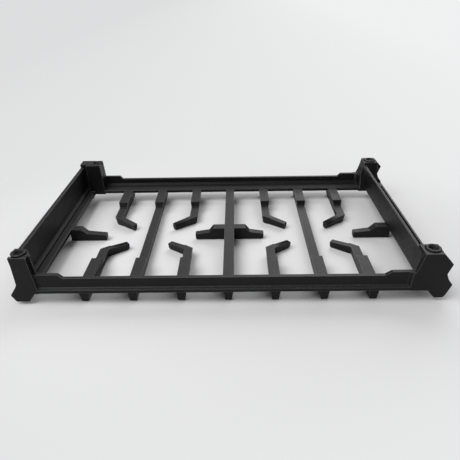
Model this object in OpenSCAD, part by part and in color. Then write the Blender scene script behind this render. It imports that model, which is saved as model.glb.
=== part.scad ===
// Stove grate, drawn as it lies in the photo: cooking face down on z = 0, feet pointing up.
// x runs along the long side, y to the back, z up. Lengths are in millimetres.
// The middle of the centre bar is at x = 0 and y = 0.

/* [Bars] */
// distance from the centre bar to the middle of each burner space
burner_x = 103.4; // [95:0.1:115]
// distance from the middle of a burner space to the bars that carry its bent fingers
ring_x = 52.6; // [46:0.1:56]
// width of a bar on the cooking face
bar_foot_w = 7.4; // [5:0.1:9]
// growth of a bar's half width for each millimetre of height
bar_draft = 0.144; // [0.08:0.002:0.2]
// height of the deep bars
deep_h = 19; // [15:0.1:24]
// height of the bars where they run over the burner spaces
shallow_h = 11.9; // [9:0.1:14]
// distance from the middle line to the step between deep and shallow bar
step_y = 74.6; // [60:0.1:90]
// length of the sloped face of that step
step_run = 3.2; // [1:0.1:8]
// distance from the middle line to the end of a bar on the cooking face
tooth_y = 133.4; // [125:0.1:136]

/* [Fingers] */
// height of a finger at its tip
tip_h = 9.5; // [7:0.1:12]
// width of a bent finger on the cooking face
finger_foot_w = 3.9; // [3:0.1:6]
// width of a side finger on the cooking face
side_foot_w = 5.2; // [4:0.1:7]
// growth of a finger's half width for each millimetre of height
finger_draft = 0.155; // [0.08:0.005:0.2]
// angle of a bent finger to the long side
finger_a = 36.4; // [25:0.1:50]
// distance of a bent finger's root from the middle line
elbow_y = 43; // [36:0.1:50]
// length of a bent finger from the bar's middle to its tip
finger_len = 32.2; // [26:0.1:40]
// distance from the centre bar to the tips of its side fingers
inner_tip_x = 45; // [38:0.1:50]
// distance from the centre bar to the tips of the outer side fingers
outer_tip_x = 163.3; // [155:0.1:170]

/* [Rails] */
// distance from the middle line to the outermost face of a rail
rail_y = 137; // [125:0.1:150]
// distance from the middle line to the outer face of the upright skirt
skirt_y = 134.8; // [123:0.1:148]
// thickness of the skirt
skirt_t = 4.1; // [2.5:0.1:6]
// height of the skirt
skirt_h = 32.3; // [26:0.1:38]
// height of the raised ends of the skirt
skirt_end_h = 36.8; // [30:0.1:44]
// distance from the middle line to the inner edge of the rail flange
flange_y = 115.6; // [105:0.1:125]
// height of the flange's upper face at its inner edge
flange_h = 19.7; // [17:0.1:23]
// height of the underside of the rails
rail_z = 14.4; // [10:0.1:18]

/* [Side walls] */
// height of the top of the side walls
wall_h = 55.5; // [45:0.1:58]
// distance from the centre bar to the outer face of the left wall
wall_left_x = 226.6; // [215:0.1:240]
// distance from the centre bar to the inner face of the right wall
wall_right_x = 200.6; // [190:0.1:210]
// thickness of a side wall at its top
wall_t = 5.2; // [3:0.1:8]
// distance from the centre bar to the left edge of the opening
open_left_x = 208; // [200:0.1:215]
// distance from the centre bar to the right edge of the opening
open_right_x = 207.8; // [200:0.1:215]

/* [Corner posts] */
// height of the top of the posts
post_h = 59.4; // [50:0.1:62]
// height of the top of the rear left post, which stands a little higher
post_rl_h = 60.6; // [50:0.1:62]
// height of the lowest faces of the posts over the table
post_z = 4; // [0:0.1:8]
// thickness of the flat plate on the outside of each post
plate_t = 3.6; // [2:0.1:6]
// distance from the centre bar to the inner edge of the right posts' plates
post_edge_x = 192.6; // [188:0.1:197]
// radius of the hollow fillet between rail and right post
fillet_r = 5; // [2:0.1:8]
// distance from the middle line to the inner face of a post
post_in_y = 116.6; // [110:0.1:125]

/* [Rubber feet] */
// radius of a rubber foot
pad_r = 8; // [6:0.1:10]
// height of the top of a rubber foot
pad_h = 61; // [58:0.1:64]
// radius of the hole in a rubber foot
pad_hole_r = 2.4; // [1:0.1:4]
// radius of the pin under a rubber foot
pin_r = 3.6; // [2:0.1:5]
// length of that pin
pin_len = 7; // [3:0.5:15]
// gap round a rubber foot and its pin
foot_gap = 0.15; // [0.05:0.05:0.5]
// width of the open groove round the disc of a rubber foot
groove_w = 1.1; // [0.5:0.1:2]
// depth of the seat that a rubber foot stands in
seat_d = 2.2; // [1:0.1:4]

/* [Hidden] */
$fn = 64;
eps = 0.02;
iron = [0.16, 0.16, 0.17];
rubber = [0.07, 0.07, 0.07];
seat_z = post_h - seat_d;
pad_fl = [-218.6, -127];
pad_fr = [212.6, -126];
pad_rl = [-204, 128];
pad_rr = [211, 126.5];

// a prism along y with its outline drawn in x and z
module along_y(y0, y1) {
    translate([0, y1, 0]) rotate([90, 0, 0]) linear_extrude(y1 - y0) children();
}

// a prism along x with its outline drawn in y and z
module along_x(x0, x1) {
    translate([x0, 0, 0]) rotate([90, 0, 90]) linear_extrude(x1 - x0) children();
}

// outline of a drafted bar, wider towards the feet, with its cooking edges broken
module bar_outline(foot_w, draft, h) {
    polygon([
        [-foot_w / 2 + 1.3, 0], [foot_w / 2 - 1.3, 0], [foot_w / 2 - 0.3, 0.5],
        [foot_w / 2 + 0.2, 1.5], [foot_w / 2 + draft * h, h],
        [-foot_w / 2 - draft * h, h], [-foot_w / 2 - 0.2, 1.5], [-foot_w / 2 + 0.3, 0.5]
    ]);
}

// side view of a bar that runs the whole width, deep all the way
module deep_side() {
    polygon([
        [-tooth_y + 2.6, 0], [tooth_y - 2.6, 0], [tooth_y - 1, 0.6], [tooth_y, 2.2],
        [tooth_y + 0.7, rail_z + 2], [tooth_y + 0.7, deep_h], [-tooth_y - 0.7, deep_h],
        [-tooth_y - 0.7, rail_z + 2], [-tooth_y, 2.2], [-tooth_y + 1, 0.6]
    ]);
}

// side view of a bar that is shallow between its two steps
module stepped_side() {
    difference() {
        deep_side();
        polygon([
            [-step_y, deep_h + 1], [-step_y, deep_h], [-step_y + step_run, shallow_h + 0.9],
            [-step_y + step_run + 2.4, shallow_h], [step_y - step_run - 2.4, shallow_h],
            [step_y - step_run, shallow_h + 0.9], [step_y, deep_h], [step_y, deep_h + 1]
        ]);
    }
}

// the centre bar
module centre_bar() {
    intersection() {
        along_y(-rail_y, rail_y) bar_outline(bar_foot_w, bar_draft - 0.012, deep_h);
        along_x(-15, 15) deep_side();
    }
}

// a bar that runs straight through the middle of a burner space
module through_bar() {
    intersection() {
        along_y(-rail_y, rail_y) bar_outline(bar_foot_w, bar_draft, deep_h);
        along_x(-15, 15) stepped_side();
    }
}

// everything on the inner side of a bent finger's outer face
module finger_side_room() {
    w = finger_foot_w / 2;
    translate([ring_x, elbow_y, 0]) rotate([0, 0, finger_a - 180])
        rotate([90, 0, 90]) translate([0, 0, -90]) linear_extrude(150)
        polygon([[-120, -1], [w - finger_draft, -1], [w + finger_draft * 25, 25], [-120, 25]]);
}

// everything on the inner side of a ring bar's outer face
module bar_side_room() {
    w = bar_foot_w / 2;
    along_y(-10, 150) polygon([
        [-60, -1], [ring_x + w - bar_draft, -1], [ring_x + w + bar_draft * 25, 25], [-60, 25]
    ]);
}

// a bent finger, sloping down to its tip
module bent_finger() {
    intersection() {
        translate([ring_x, elbow_y, 0]) rotate([0, 0, finger_a - 180]) intersection() {
            rotate([90, 0, 90]) translate([0, 0, -14]) linear_extrude(finger_len + 14)
                bar_outline(finger_foot_w, finger_draft, shallow_h);
            rotate([90, 0, 0]) translate([0, 0, -12]) linear_extrude(24) polygon([
                [-14, 0], [finger_len - 1.8, 0], [finger_len - 0.4, 1.6], [finger_len, 4],
                [finger_len - 0.2, tip_h - 0.3], [finger_len - 0.6, tip_h], [0, shallow_h], [-14, shallow_h]
            ]);
        }
        bar_side_room();
    }
}

// one quarter of a burner space: a ring bar with its bent finger
module ring_arm() {
    intersection() {
        translate([ring_x, 0, 0]) intersection() {
            along_y(elbow_y - 14, rail_y) bar_outline(bar_foot_w, bar_draft, deep_h);
            along_x(-15, 15) stepped_side();
        }
        finger_side_room();
    }
    bent_finger();
}

// the four ring arms and the through bar of one burner space
module burner_bars() {
    for (sx = [0, 1]) for (sy = [0, 1])
        mirror([sx, 0, 0]) mirror([0, sy, 0]) ring_arm();
    through_bar();
}

// a side finger from x = 0 at its root to its tip, deep at first and then sloped
module side_finger(deep, slope, len) {
    intersection() {
        along_x(-3, len) bar_outline(side_foot_w, finger_draft, deep_h);
        along_y(-12, 12) polygon([
            [-3, 0], [len - 2, 0], [len - 0.5, 1.6], [len, 4], [len, tip_h - 0.4], [len - 0.5, tip_h],
            [deep + slope, tip_h + 2.6], [deep, deep_h - 0.6], [deep - 1, deep_h - 0.3], [-3, deep_h - 0.3]
        ]);
    }
}

// outline of a rail in y and z: flange, sloping ledge, upright skirt and stepped edge
module rail_outline() {
    polygon([
        [flange_y, rail_z + 0.8], [flange_y, flange_h - 0.8], [flange_y + 0.8, flange_h],
        [skirt_y - skirt_t - 6.5, flange_h + 1.6], [skirt_y - skirt_t - 1.6, flange_h + 3.4],
        [skirt_y - skirt_t, flange_h + 5.6], [skirt_y - skirt_t, skirt_h], [skirt_y, skirt_h],
        [skirt_y, flange_h + 1.2], [skirt_y + 0.9, flange_h + 0.5], [skirt_y + 0.9, flange_h - 1],
        [rail_y, flange_h - 1.6], [rail_y, rail_z], [rail_y - 0.6, rail_z - 0.5],
        [skirt_y - 6, rail_z - 0.5], [skirt_y - 8, rail_z + 0.8]
    ]);
}

// the front rail is drawn at the back and mirrored; its raised ends differ
module rail(left_end, left_run, right_end, right_run) {
    along_x(-212, 202) rail_outline();
    along_y(skirt_y - skirt_t, skirt_y) polygon([
        [-212, skirt_h - 1], [-212, skirt_end_h], [left_end - left_run, skirt_end_h],
        [left_end, skirt_h], [left_end, skirt_h - 1]
    ]);
    along_y(skirt_y - skirt_t, skirt_y) polygon([
        [202, skirt_h - 1], [202, skirt_end_h], [right_end + right_run, skirt_end_h],
        [right_end, skirt_h], [right_end, skirt_h - 1]
    ]);
}

// the left wall stands on the outer edge with its stepped ledge towards the opening
module left_wall() {
    along_y(-rail_y + 8, rail_y - 8) polygon([
        [-wall_left_x, wall_h - 0.6], [-wall_left_x + 0.6, wall_h],
        [-wall_left_x + wall_t - 0.5, wall_h], [-wall_left_x + wall_t, wall_h - 0.5],
        [-wall_left_x + wall_t + 1.6, 24.4], [-216.6, 24], [-216, 23.4], [-216, flange_h],
        [-open_left_x - 0.8, flange_h], [-open_left_x, flange_h - 0.8], [-open_left_x, rail_z + 0.8],
        [-222, rail_z + 0.8], [-231, 11.6], [-233, 13], [-232, 16], [-wall_left_x, 26]
    ]);
}

// the right wall stands on the inner edge with its flange turned outwards
module right_wall() {
    along_y(-rail_y + 8, rail_y - 8) polygon([
        [wall_right_x, wall_h - 0.5], [wall_right_x + 0.5, wall_h],
        [wall_right_x + wall_t - 1.9, wall_h], [wall_right_x + wall_t - 1.4, wall_h - 0.6],
        [208.4, 24], [212, 21.6], [234.2, 21.2], [235.3, 20.2], [232, rail_z + 0.4],
        [open_right_x + 1, rail_z + 0.4], [open_right_x, rail_z + 1.2], [wall_right_x + 2.2, 24]
    ]);
}

// seat and pin bore for a rubber foot
module foot_seat(at) {
    translate([at[0], at[1], seat_z]) cylinder(r = pad_r + groove_w, h = 10);
    translate([at[0], at[1], seat_z - pin_len - 1]) cylinder(r = pin_r + foot_gap, h = pin_len + 2);
}

// front view of the right posts: ear, waist and lower tip on the outer side
module right_post_view() {
    polygon([
        [201.6, post_h], [219.4, post_h], [221, post_h - 0.8], [231.6, 46.8], [231.4, 45.6],
        [227.9, 35.4], [228, 33.6], [230.6, 27.6], [235.4, 21.4], [235.3, 19.8], [230.4, 7.2],
        [228.8, post_z + 1.2], [226, post_z + 0.6], [220, post_z + 0.6], [218.4, post_z + 1.4],
        [211, rail_z - 0.5], [post_edge_x, rail_z - 0.5], [post_edge_x, 20], [post_edge_x + 0.9, 35],
        [post_edge_x + 2.4, skirt_end_h], [197.6, 43], [199.6, 50.4]
    ]);
}

// front view of the left front post: smooth outer edge, waist and flared foot
module left_front_view() {
    polygon([
        [-226.2, post_h], [-208.4, post_h], [-207.8, post_h - 0.8], [-203.8, 20.1], [-203, rail_z - 0.5],
        [-209.2, rail_z - 0.5], [-214.8, post_z + 0.4], [-216, post_z], [-228.4, post_z],
        [-229.8, post_z + 0.8], [-233.6, 11.8], [-233.5, 13.2], [-226.2, 23.4], [-225.1, 26.6], [-225.3, 50]
    ]);
}

// front view of the left rear post, which is wider
module left_rear_view() {
    polygon([
        [-226, post_rl_h], [-196.6, post_rl_h], [-195.6, post_rl_h - 1], [-193.2, 26], [-193, rail_z - 0.5],
        [-209.2, rail_z - 0.5], [-214.8, post_z + 0.4], [-216, post_z], [-228.4, post_z],
        [-229.8, post_z + 0.8], [-233.6, 11.8], [-233.5, 13.2], [-226.2, 23.4], [-225.1, 26.6], [-225.3, 50]
    ]);
}

// side view of a post's body, drafted towards its foot
module post_side_view(h) {
    polygon([
        [post_in_y + 0.6, h], [rail_y - 0.2, h], [rail_y, h - 0.6],
        [rail_y, post_z - 1], [post_in_y + 4, post_z - 1], [post_in_y - 1.4, rail_z],
        [post_in_y - 1.4, 26], [post_in_y, h - 0.6]
    ]);
}

// a rounded block seen from above
module round_block(x0, x1, y0, y1, r) {
    translate([x0 + r, y0]) square([x1 - x0 - 2 * r, y1 - y0]);
    translate([x0, y0 + r]) square([x1 - x0, y1 - y0 - 2 * r]);
    for (x = [x0 + r, x1 - r]) for (y = [y0 + r, y1 - r]) translate([x, y]) circle(r);
}

// right post, drawn at the back
module right_post() {
    along_y(rail_y - plate_t, rail_y) right_post_view();
    intersection() {
        along_y(post_in_y - 3, rail_y) right_post_view();
        along_x(190, 240) post_side_view(post_h);
        linear_extrude(70) union() {
            round_block(post_edge_x + 3, 223, post_in_y - 2, rail_y - plate_t - 0.6, 6);
            translate([post_edge_x + 3, post_in_y + 4]) square([20, rail_y - post_in_y - 5]);
        }
    }
    recess_ramp();
    inner_fillet();
}

// sloped end of the recess between the rail's mouldings and the post's plate
module recess_ramp() {
    translate([0, 0, rail_z]) linear_extrude(skirt_end_h - rail_z) polygon([
        [post_edge_x - 3.4, skirt_y - 1], [post_edge_x - 3.4, skirt_y], [post_edge_x - 0.4, rail_y - 0.4],
        [post_edge_x + 2, rail_y - 0.4], [post_edge_x + 2, skirt_y - 1]
    ]);
}

// hollow fillet between the skirt's inner face and the post
module inner_fillet() {
    y = skirt_y - skirt_t;
    translate([post_edge_x + 3.2, y + 0.2, rail_z]) linear_extrude(skirt_end_h - rail_z) difference() {
        translate([-fillet_r, -fillet_r]) square([fillet_r + 0.2, fillet_r + 0.2]);
        translate([-fillet_r, -fillet_r]) circle(fillet_r);
    }
}

// left front post, drawn at the back
module left_front_post() {
    along_y(rail_y - plate_t, rail_y) left_front_view();
    intersection() {
        along_y(post_in_y - 3, rail_y) polygon([
            [-226.2, post_h], [-205.4, post_h], [-204.8, post_h - 0.8], [-201, 20.1], [-200, rail_z - 0.5],
            [-209.2, rail_z - 0.5], [-214.8, post_z + 0.4], [-216, post_z], [-228.4, post_z],
            [-229.8, post_z + 0.8], [-233.6, 11.8], [-233.5, 13.2], [-226.2, 23.4], [-225.1, 26.6], [-225.3, 50]
        ]);
        along_x(-240, -190) post_side_view(post_h);
        linear_extrude(70) union() {
            polygon([
                [-240, post_in_y - 3], [-221, post_in_y - 3], [-217, post_in_y + 0.6], [-212.6, post_in_y + 2.8],
                [-209.4, post_in_y + 6.4], [-207.8, post_in_y + 10.4], [-204, rail_y - plate_t - 2.6],
                [-196, rail_y - plate_t - 0.9], [-240, rail_y - plate_t - 0.9]
            ]);
            translate([-240, post_in_y + 6]) square([29, rail_y - post_in_y - 7]);
        }
    }
}

// left rear post
module left_rear_post() {
    along_y(rail_y - plate_t, rail_y) left_rear_view();
    intersection() {
        along_y(post_in_y - 3, rail_y) left_rear_view();
        along_x(-240, -190) post_side_view(post_rl_h);
        linear_extrude(70) union() {
            round_block(-216.6, -190, post_in_y - 2, rail_y - plate_t + 0.6, 3);
            translate([-240, post_in_y + 4]) square([30, rail_y - post_in_y - 5]);
        }
    }
}

module grate_casting() color(iron) {
    difference() {
        union() {
            centre_bar();
            translate([burner_x, 0, 0]) burner_bars();
            translate([-burner_x, 0, 0]) burner_bars();
            side_finger(21.4, 5.2, inner_tip_x);
            mirror([1, 0, 0]) side_finger(21.4, 5.2, inner_tip_x);
            translate([-open_left_x, 0, 0]) side_finger(12, 7.3, open_left_x - outer_tip_x);
            translate([open_right_x, 0, 0]) mirror([1, 0, 0]) side_finger(16, 7.3, open_right_x - outer_tip_x);
            rail(-167, 4, 166, 5);
            mirror([0, 1, 0]) rail(-175, 5, 165, 7);
            left_wall();
            right_wall();
            right_post();
            mirror([0, 1, 0]) right_post();
            mirror([0, 1, 0]) left_front_post();
            left_rear_post();
        }
        foot_seat(pad_fl);
        foot_seat(pad_fr);
        foot_seat(pad_rl);
        foot_seat(pad_rr);
    }
}

// a rubber foot with its pin and its centre hole
module rubber_foot(at) {
    translate([at[0], at[1], 0]) difference() {
        union() {
            translate([0, 0, seat_z]) cylinder(r = pad_r, h = pad_h - seat_z - 0.6);
            translate([0, 0, pad_h - 0.6]) cylinder(r1 = pad_r, r2 = pad_r - 0.6, h = 0.6);
            translate([0, 0, seat_z - pin_len]) cylinder(r = pin_r, h = pin_len + 1);
        }
        translate([0, 0, seat_z - pin_len + 2]) cylinder(r = pad_hole_r, h = 30);
    }
}

module foot_front_left() color(rubber) rubber_foot(pad_fl);
module foot_front_right() color(rubber) rubber_foot(pad_fr);
module foot_rear_left() color(rubber) rubber_foot(pad_rl);
module foot_rear_right() color(rubber) rubber_foot(pad_rr);

grate_casting();
foot_front_left();
foot_front_right();
foot_rear_left();
foot_rear_right();
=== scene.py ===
import math

import bmesh
import bpy
from mathutils import Matrix, Vector


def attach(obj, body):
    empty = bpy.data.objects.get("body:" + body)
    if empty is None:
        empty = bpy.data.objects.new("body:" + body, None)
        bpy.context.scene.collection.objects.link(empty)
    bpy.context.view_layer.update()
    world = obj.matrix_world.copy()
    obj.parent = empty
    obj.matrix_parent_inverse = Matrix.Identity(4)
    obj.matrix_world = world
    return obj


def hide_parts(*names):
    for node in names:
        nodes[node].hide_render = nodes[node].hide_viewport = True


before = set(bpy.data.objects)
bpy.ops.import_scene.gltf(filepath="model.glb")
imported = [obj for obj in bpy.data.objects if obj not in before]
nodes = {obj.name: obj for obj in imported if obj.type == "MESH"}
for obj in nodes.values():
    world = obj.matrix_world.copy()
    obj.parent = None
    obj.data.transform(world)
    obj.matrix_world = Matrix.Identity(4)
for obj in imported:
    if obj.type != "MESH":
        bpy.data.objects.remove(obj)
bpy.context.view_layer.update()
scene = bpy.context.scene
CASTING = "grate_casting"

# colours, linear
IRON_DARK, IRON_PALE = (0.0030, 0.0030, 0.0035, 1), (0.0095, 0.0095, 0.0102, 1)
# the last colour on the next line paints the edges pale: partly rubbed wear, partly painted highlight
IRON_WARM, IRON_WORN_EDGE_HIGHLIGHT = (0.0140, 0.0125, 0.0108, 1), (0.220, 0.220, 0.222, 1)
# paler colour for upward faces: painted light from above, with a faint dusting
DUSTING_AND_TOP_LIGHT = (0.100, 0.100, 0.100, 1)
RUBBER_DARK, RUBBER_PALE = (0.010, 0.010, 0.0105, 1), (0.022, 0.022, 0.0225, 1)
RUBBER_RUBBED = (0.050, 0.050, 0.051, 1)
FLOOR = (0.82, 0.82, 0.825, 1)
# colours of the backdrop glow: painted light, paler to the right
BACKDROP_LEFT, BACKDROP_RIGHT = (0.725, 0.728, 0.735, 1), (0.870, 0.873, 0.875, 1)
WORLD_LIGHT, WORLD_SEEN = (0.16, 0.16, 0.165, 1), (0.78, 0.78, 0.79, 1)

# widths of the rounded cast edges and of the pale strip on them, partly rubbed wear and partly painted
# highlight, in metres
EDGE_WIDTH, WORN_HIGHLIGHT_WIDTH = 0.0007, 0.0013


# camera at the photo's viewing angle: focal length in pixels of a 460 pixel wide picture,
# pitch, yaw and roll in radians, and its place in metres
def photo_camera():
    focal, pitch, yaw, roll = 460.0, 0.51428, 0.01822, 0.02037
    place = Vector((0.010412, -0.531018, 0.312962))
    turn = Matrix.Rotation(yaw, 3, "Z")
    right = turn @ Vector((1, 0, 0))
    forward = turn @ Vector((0, math.cos(pitch), -math.sin(pitch)))
    down = turn @ Vector((0, -math.sin(pitch), -math.cos(pitch)))
    cr, sr = math.cos(roll), math.sin(roll)
    x, y = cr * right + sr * down, -sr * right + cr * down
    data = bpy.data.cameras.new("photo_camera")
    cam = bpy.data.objects.new("photo_camera", data)
    scene.collection.objects.link(cam)
    m = Matrix((x, -y, -forward)).transposed().to_4x4()
    m.translation = place
    cam.matrix_world = m
    data.sensor_width, data.sensor_fit = 36, "HORIZONTAL"
    data.lens = focal * 36 / 460
    data.clip_start, data.clip_end = 0.01, 60
    scene.camera = cam


class Nodes:
    """Small helper that adds and links shader nodes."""

    def __init__(self, material):
        material.use_nodes = True
        self.tree = material.node_tree
        self.tree.nodes.clear()
        self.out = self.add("ShaderNodeOutputMaterial")

    def add(self, kind, inputs=None, **settings):
        n = self.tree.nodes.new(kind)
        for k, v in settings.items():
            setattr(n, k, v)
        for k, v in (inputs or {}).items():
            if isinstance(v, bpy.types.NodeSocket):
                self.tree.links.new(v, n.inputs[k])
            else:
                n.inputs[k].default_value = v
        return n

    def noise(self, at, scale, detail, roughness=0.5):
        return self.add("ShaderNodeTexNoise", {
            "Vector": at, "Scale": scale, "Detail": detail, "Roughness": roughness})


def grain_position(n):
    """Position in metres, so that the grain has one size on every piece."""
    return n.add("ShaderNodeNewGeometry").outputs["Position"]


def edge_mask(n, radius, low, high):
    """1 on outer and inner edges, 0 on flat faces: how far a rounded normal leaves the true one."""
    true = n.add("ShaderNodeNewGeometry").outputs["Normal"]
    round_normal = n.add("ShaderNodeBevel", samples=6)
    round_normal.inputs["Radius"].default_value = radius
    same = n.add("ShaderNodeVectorMath", {0: true, 1: round_normal.outputs[0]}, operation="DOT_PRODUCT")
    return n.add("ShaderNodeMapRange", {"Value": same.outputs["Value"], 1: high, 2: low, 3: 0.0, 4: 1.0})


def iron_material():
    """Satin black enamel over sand-cast iron: fine grain, mottling, pale edges that are partly rubbed wear
    and partly painted highlight, and a paler coat on upward faces that is painted light with a faint
    dusting.
    """
    m = bpy.data.materials.new("cast_iron_enamel")
    n = Nodes(m)
    at = grain_position(n)
    grain = n.noise(at, 1100.0, 3.0, 0.65)
    sand = n.noise(at, 330.0, 3.0, 0.6)
    cloud = n.noise(at, 24.0, 4.0, 0.55)

    # colour: near black, mottled, and warmer where the coat is thin
    col = n.add("ShaderNodeMix", {0: grain.outputs[0]}, data_type="RGBA")
    col.inputs[6].default_value = IRON_DARK
    col.inputs[7].default_value = IRON_PALE
    patch = n.add("ShaderNodeMapRange", {"Value": cloud.outputs[0], 1: 0.42, 2: 0.66, 3: 0.0, 4: 0.55})
    warm = n.add("ShaderNodeMix", {0: patch.outputs[0], 6: col.outputs[2]}, data_type="RGBA")
    warm.inputs[7].default_value = IRON_WARM
    # painted highlight: edges are painted pale, broken by the sand noise; partly rubbed wear, partly the
    # light that crisp edges catch
    rubbed = edge_mask(n, WORN_HIGHLIGHT_WIDTH, 0.88, 0.995)
    worn_and_highlit = n.add("ShaderNodeMath", {0: rubbed.outputs[0], 1: sand.outputs[0]}, operation="MULTIPLY")
    worn_and_highlit = n.add("ShaderNodeMath", {0: worn_and_highlit.outputs[0]}, operation="MULTIPLY")
    worn_and_highlit.inputs[1].default_value = 0.75
    edge = n.add("ShaderNodeMix", {0: worn_and_highlit.outputs[0], 6: warm.outputs[2]}, data_type="RGBA")
    edge.inputs[7].default_value = IRON_WORN_EDGE_HIGHLIGHT

    # painted light: upward faces are painted paler for the light they catch from above, with a faint
    # dusting
    facing = n.add("ShaderNodeSeparateXYZ", {0: n.add("ShaderNodeNewGeometry").outputs["Normal"]})
    upward_dust_and_light = n.add("ShaderNodeMapRange", {"Value": facing.outputs[2], 1: 0.93, 2: 0.995, 3: 0.0, 4: 0.32})
    dusting_and_top_light = n.add("ShaderNodeMix", {0: upward_dust_and_light.outputs[0], 6: edge.outputs[2]}, data_type="RGBA")
    dusting_and_top_light.inputs[7].default_value = DUSTING_AND_TOP_LIGHT

    # gloss varies with the sand and the mottling
    rough = n.add("ShaderNodeMapRange", {"Value": sand.outputs[0], 1: 0.3, 2: 0.7, 3: 0.42, 4: 0.54})
    rougher = n.add("ShaderNodeMapRange", {"Value": cloud.outputs[0], 1: 0.3, 2: 0.7, 3: -0.04, 4: 0.05})
    gloss = n.add("ShaderNodeMath", {0: rough.outputs[0], 1: rougher.outputs[0]}, operation="ADD")
    height = n.add("ShaderNodeMath", {0: grain.outputs[0], 1: sand.outputs[0]}, operation="ADD")
    bump = n.add("ShaderNodeBump", {"Strength": 0.45, "Distance": 0.00035, "Height": height.outputs[0]})
    p = n.add("ShaderNodeBsdfPrincipled", {
        "Base Color": dusting_and_top_light.outputs[2], "Roughness": gloss.outputs[0], "Normal": bump.outputs[0]})
    p.inputs["Specular IOR Level"].default_value = 0.21
    n.tree.links.new(p.outputs[0], n.out.inputs[0])
    return m


def rubber_material():
    """Moulded black rubber: fine matt grain, greyed where it has rubbed, with painted shade in the hollow
    and a painted highlight on the ring round it.
    """
    m = bpy.data.materials.new("foot_rubber")
    n = Nodes(m)
    at = grain_position(n)
    grain = n.noise(at, 1300.0, 3.0)
    smear = n.noise(at, 190.0, 3.0)
    col = n.add("ShaderNodeMix", {0: grain.outputs[0]}, data_type="RGBA")
    col.inputs[6].default_value = RUBBER_DARK
    col.inputs[7].default_value = RUBBER_PALE
    rub = n.add("ShaderNodeMapRange", {"Value": smear.outputs[0], 1: 0.45, 2: 0.7, 3: 0.0, 4: 0.6})
    grey = n.add("ShaderNodeMix", {0: rub.outputs[0], 6: col.outputs[2]}, data_type="RGBA")
    grey.inputs[7].default_value = RUBBER_RUBBED
    # painted shade and painted light: by height, the hollow is painted darker for the shade in it, and the
    # ring round it paler for the light it catches
    height = n.add("ShaderNodeSeparateXYZ", {0: at})
    hollow_shade_rim_light = n.add("ShaderNodeMapRange", {"Value": height.outputs[2], 1: 0.0588, 2: 0.0608, 3: 0.15, 4: 1.4})
    shaded_and_lit_rubber = n.add("ShaderNodeVectorMath", {0: grey.outputs[2]}, operation="SCALE")
    n.tree.links.new(hollow_shade_rim_light.outputs[0], shaded_and_lit_rubber.inputs["Scale"])
    rough = n.add("ShaderNodeMapRange", {"Value": smear.outputs[0], 1: 0.3, 2: 0.7, 3: 0.50, 4: 0.68})
    bump = n.add("ShaderNodeBump", {"Strength": 0.3, "Distance": 0.0002, "Height": grain.outputs[0]})
    p = n.add("ShaderNodeBsdfPrincipled", {
        "Base Color": shaded_and_lit_rubber.outputs[0], "Roughness": rough.outputs[0], "Normal": bump.outputs[0]})
    p.inputs["Specular IOR Level"].default_value = 0.35
    n.tree.links.new(p.outputs[0], n.out.inputs[0])
    return m


def rubber_foot(name, material):
    """Turned foot over its CAD node: rounded disc with a ring, a round hollow and a hole, on a pin."""
    corners = [nodes[name].matrix_world @ Vector(c) for c in nodes[name].bound_box]
    low = Vector((min(c.x for c in corners), min(c.y for c in corners), min(c.z for c in corners)))
    high = Vector((max(c.x for c in corners), max(c.y for c in corners), max(c.z for c in corners)))
    cx, cy, top = (low.x + high.x) / 2, (low.y + high.y) / 2, high.z
    disc_r, hollow_r, hole_r, pin_r = 0.0079, 0.0050, 0.0020, 0.0035
    seat = top - 0.0037
    profile = [(0.0, low[2] + 0.0004), (pin_r, low[2] + 0.0004), (pin_r, seat), (disc_r - 0.0003, seat)]
    profile += [(disc_r, seat + 0.0004), (disc_r, top - 0.0009)]
    for i in range(1, 5):
        a = math.radians(22.5 * i)
        profile.append((disc_r - 0.0009 + 0.0009 * math.cos(a), top - 0.0009 + 0.0009 * math.sin(a)))
    profile += [(hollow_r + 0.0005, top), (hollow_r + 0.0001, top - 0.0003)]
    profile += [(hollow_r - 0.0004, top - 0.0022)]
    profile += [(hollow_r - 0.0010, top - 0.0028), (hole_r + 0.0004, top - 0.0028)]
    profile += [(hole_r, top - 0.0032), (hole_r, top - 0.0070), (0.0, top - 0.0070)]
    turns = 64
    verts, faces = [], []
    for r, z in profile:
        if r == 0.0:
            verts.append((cx, cy, z))
            continue
        for k in range(turns):
            a = 2 * math.pi * k / turns
            verts.append((cx + r * math.cos(a), cy + r * math.sin(a), z))
    last = len(profile) - 1

    def ring(i, k):
        return 1 + (i - 1) * turns + k % turns

    for k in range(turns):
        faces.append((0, ring(1, k + 1), ring(1, k)))
        for i in range(1, last - 1):
            faces.append((ring(i, k), ring(i, k + 1), ring(i + 1, k + 1), ring(i + 1, k)))
        faces.append((ring(last - 1, k), ring(last - 1, k + 1), len(verts) - 1))
    mesh = bpy.data.meshes.new("rubber_" + name)
    mesh.from_pydata(verts, [], faces)
    mesh.materials.append(material)
    for f in mesh.polygons:
        f.use_smooth = True
    mesh.set_sharp_from_angle(angle=math.radians(40))
    o = bpy.data.objects.new("rubber_" + name, mesh)
    scene.collection.objects.link(o)
    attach(o, "root")
    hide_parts(name)


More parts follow.
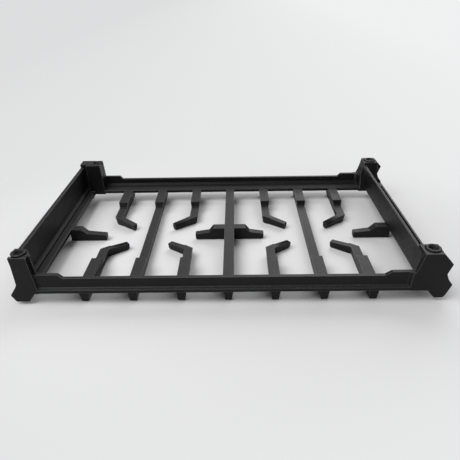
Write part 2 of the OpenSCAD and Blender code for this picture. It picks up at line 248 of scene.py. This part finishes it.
def floor_and_light():
    """Pale table with the object's soft shadow, a wide soft light behind and a weaker one above."""
    m = bpy.data.materials.new("studio_floor")
    n = Nodes(m)
    d = n.add("ShaderNodeBsdfDiffuse", {"Color": FLOOR})
    # painted light: far from the object the camera sees a glow in place of the lit floor, paler to the
    # right, standing in for light that falls stronger there
    at = n.add("ShaderNodeNewGeometry").outputs["Position"]
    flat = n.add("ShaderNodeVectorMath", {0: at}, operation="MULTIPLY")
    flat.inputs[1].default_value = (1.0, 1.25, 0.0)
    far = n.add("ShaderNodeVectorMath", {0: flat.outputs[0]}, operation="LENGTH")
    fade = n.add("ShaderNodeMapRange", {"Value": far.outputs["Value"], 1: 0.20, 2: 0.48, 3: 0.0, 4: 1.0},
                 interpolation_type="SMOOTHERSTEP")
    camera = n.add("ShaderNodeLightPath").outputs["Is Camera Ray"]
    seen = n.add("ShaderNodeMath", {0: fade.outputs[0], 1: camera}, operation="MULTIPLY")
    across = n.add("ShaderNodeSeparateXYZ", {0: at})
    side = n.add("ShaderNodeMapRange", {"Value": across.outputs[0], 1: -0.9, 2: 0.9, 3: 0.0, 4: 1.0})
    backdrop_light_tint = n.add("ShaderNodeMix", {0: side.outputs[0]}, data_type="RGBA")
    backdrop_light_tint.inputs[6].default_value = BACKDROP_LEFT
    backdrop_light_tint.inputs[7].default_value = BACKDROP_RIGHT
    glow = n.add("ShaderNodeEmission", {"Color": backdrop_light_tint.outputs[2]})
    both = n.add("ShaderNodeMixShader", {0: seen.outputs[0], 1: d.outputs[0], 2: glow.outputs[0]})
    n.tree.links.new(both.outputs[0], n.out.inputs[0])
    mesh = bpy.data.meshes.new("floor")
    r = 8
    mesh.from_pydata([(-r, -r, 0), (r, -r, 0), (r, r, 0), (-r, r, 0)], [], [(0, 1, 2, 3)])
    floor = bpy.data.objects.new("floor", mesh)
    mesh.materials.append(m)
    scene.collection.objects.link(floor)

    def area(name, place, target, size, power):
        data = bpy.data.lights.new(name, "AREA")
        data.shape, data.size, data.energy = "SQUARE", size, power
        lamp = bpy.data.objects.new(name, data)
        lamp.location = place
        lamp.rotation_euler = (Vector(target) - Vector(place)).to_track_quat("-Z", "Y").to_euler()
        scene.collection.objects.link(lamp)

    area("soft_back", (0.65, 1.5, 1.25), (0, 0, 0), 1.6, 21)
    area("soft_top", (-0.85, -0.50, 1.60), (0, 0, 0), 1.4, 27)

    world = bpy.data.worlds.new("studio")
    scene.world = world
    w = Nodes(world)
    w.tree.nodes.clear()
    out = w.add("ShaderNodeOutputWorld")
    path = w.add("ShaderNodeLightPath")
    seen = w.add("ShaderNodeMix", {0: path.outputs["Is Camera Ray"]}, data_type="RGBA")
    seen.inputs[6].default_value = WORLD_LIGHT
    seen.inputs[7].default_value = WORLD_SEEN
    bg = w.add("ShaderNodeBackground", {"Color": seen.outputs[2]})
    w.tree.links.new(bg.outputs[0], out.inputs[0])


def cut_loft(o, name, start, end):
    """Cuts out of o the solid between two outlines, each a list of as many (x, y, z) corners."""
    count = len(start)
    faces = [tuple(range(count)), tuple(reversed(range(count, 2 * count)))]
    faces += [(i, i + count, (i + 1) % count + count, (i + 1) % count) for i in range(count)]
    mesh = bpy.data.meshes.new(name + "_cutter")
    mesh.from_pydata(start + end, [], faces)
    work = bmesh.new()
    work.from_mesh(mesh)
    bmesh.ops.recalc_face_normals(work, faces=work.faces)
    work.to_mesh(mesh)
    work.free()
    cutter = bpy.data.objects.new(name + "_cutter", mesh)
    scene.collection.objects.link(cutter)
    cutter.hide_render = True
    cutter.display_type = "WIRE"
    cut = o.modifiers.new(name, "BOOLEAN")
    cut.operation, cut.object, cut.solver = "DIFFERENCE", cutter, "EXACT"


def cut_channel(o):
    """The right wall's flange is a channel with a raised outer rim."""
    half_run = 0.116
    section = [(0.2108, 0.030), (0.2124, 0.0172), (0.2132, 0.0164), (0.2314, 0.0162), (0.2321, 0.0170),
               (0.2327, 0.030)]
    cut_loft(o, "flange_channel", [(x, -half_run, z) for x, z in section],
             [(x, half_run, z) for x, z in section])


def trim_front_right_post(o):
    """The front right post runs on from the wall's inner face to its plate without a corner."""
    wall_end, skirt_in, plate_in = -0.1130, -0.1307, -0.1334
    above_flange, above_skirt, post_top = 0.0250, 0.0369, 0.0600
    clear_x = 0.185
    low = [(clear_x, wall_end), (0.2028, wall_end), (0.2022, -0.1210), (0.2002, -0.1262),
           (0.1975, skirt_in), (clear_x, skirt_in)]
    high = [(clear_x, wall_end), (0.2003, wall_end), (0.2003, -0.1210), (0.2006, -0.1262),
            (0.2010, skirt_in), (clear_x, skirt_in)]
    cut_loft(o, "post_side", [(x, y, above_flange) for x, y in low],
             [(x, y, post_top) for x, y in high])
    low = [(clear_x, skirt_in), (0.1987, skirt_in), (0.1955, plate_in), (clear_x, plate_in)]
    high = [(clear_x, skirt_in), (0.2010, skirt_in), (0.2015, plate_in), (clear_x, plate_in)]
    cut_loft(o, "post_corner", [(x, y, above_skirt) for x, y in low],
             [(x, y, post_top) for x, y in high])


def soft_edges(o, width):
    """Cast edges: the flat faces' extra lines go, and each edge is rounded a little."""
    d = o.modifiers.new("flat_faces", "DECIMATE")
    d.decimate_type, d.angle_limit = "DISSOLVE", math.radians(0.6)
    b = o.modifiers.new("cast_edges", "BEVEL")
    b.width, b.segments, b.limit_method, b.angle_limit = width, 2, "ANGLE", math.radians(24)
    b.harden_normals = False
    b.miter_outer = "MITER_ARC"


photo_camera()
iron, rubber = iron_material(), rubber_material()
for name, o in list(nodes.items()):
    o.data.materials.clear()
    o.data.materials.append(iron if name == CASTING else rubber)
    if name != CASTING:
        rubber_foot(name, rubber)
cut_channel(nodes[CASTING])
trim_front_right_post(nodes[CASTING])
soft_edges(nodes[CASTING], EDGE_WIDTH)
floor_and_light()

scene.view_settings.view_transform = "Standard"
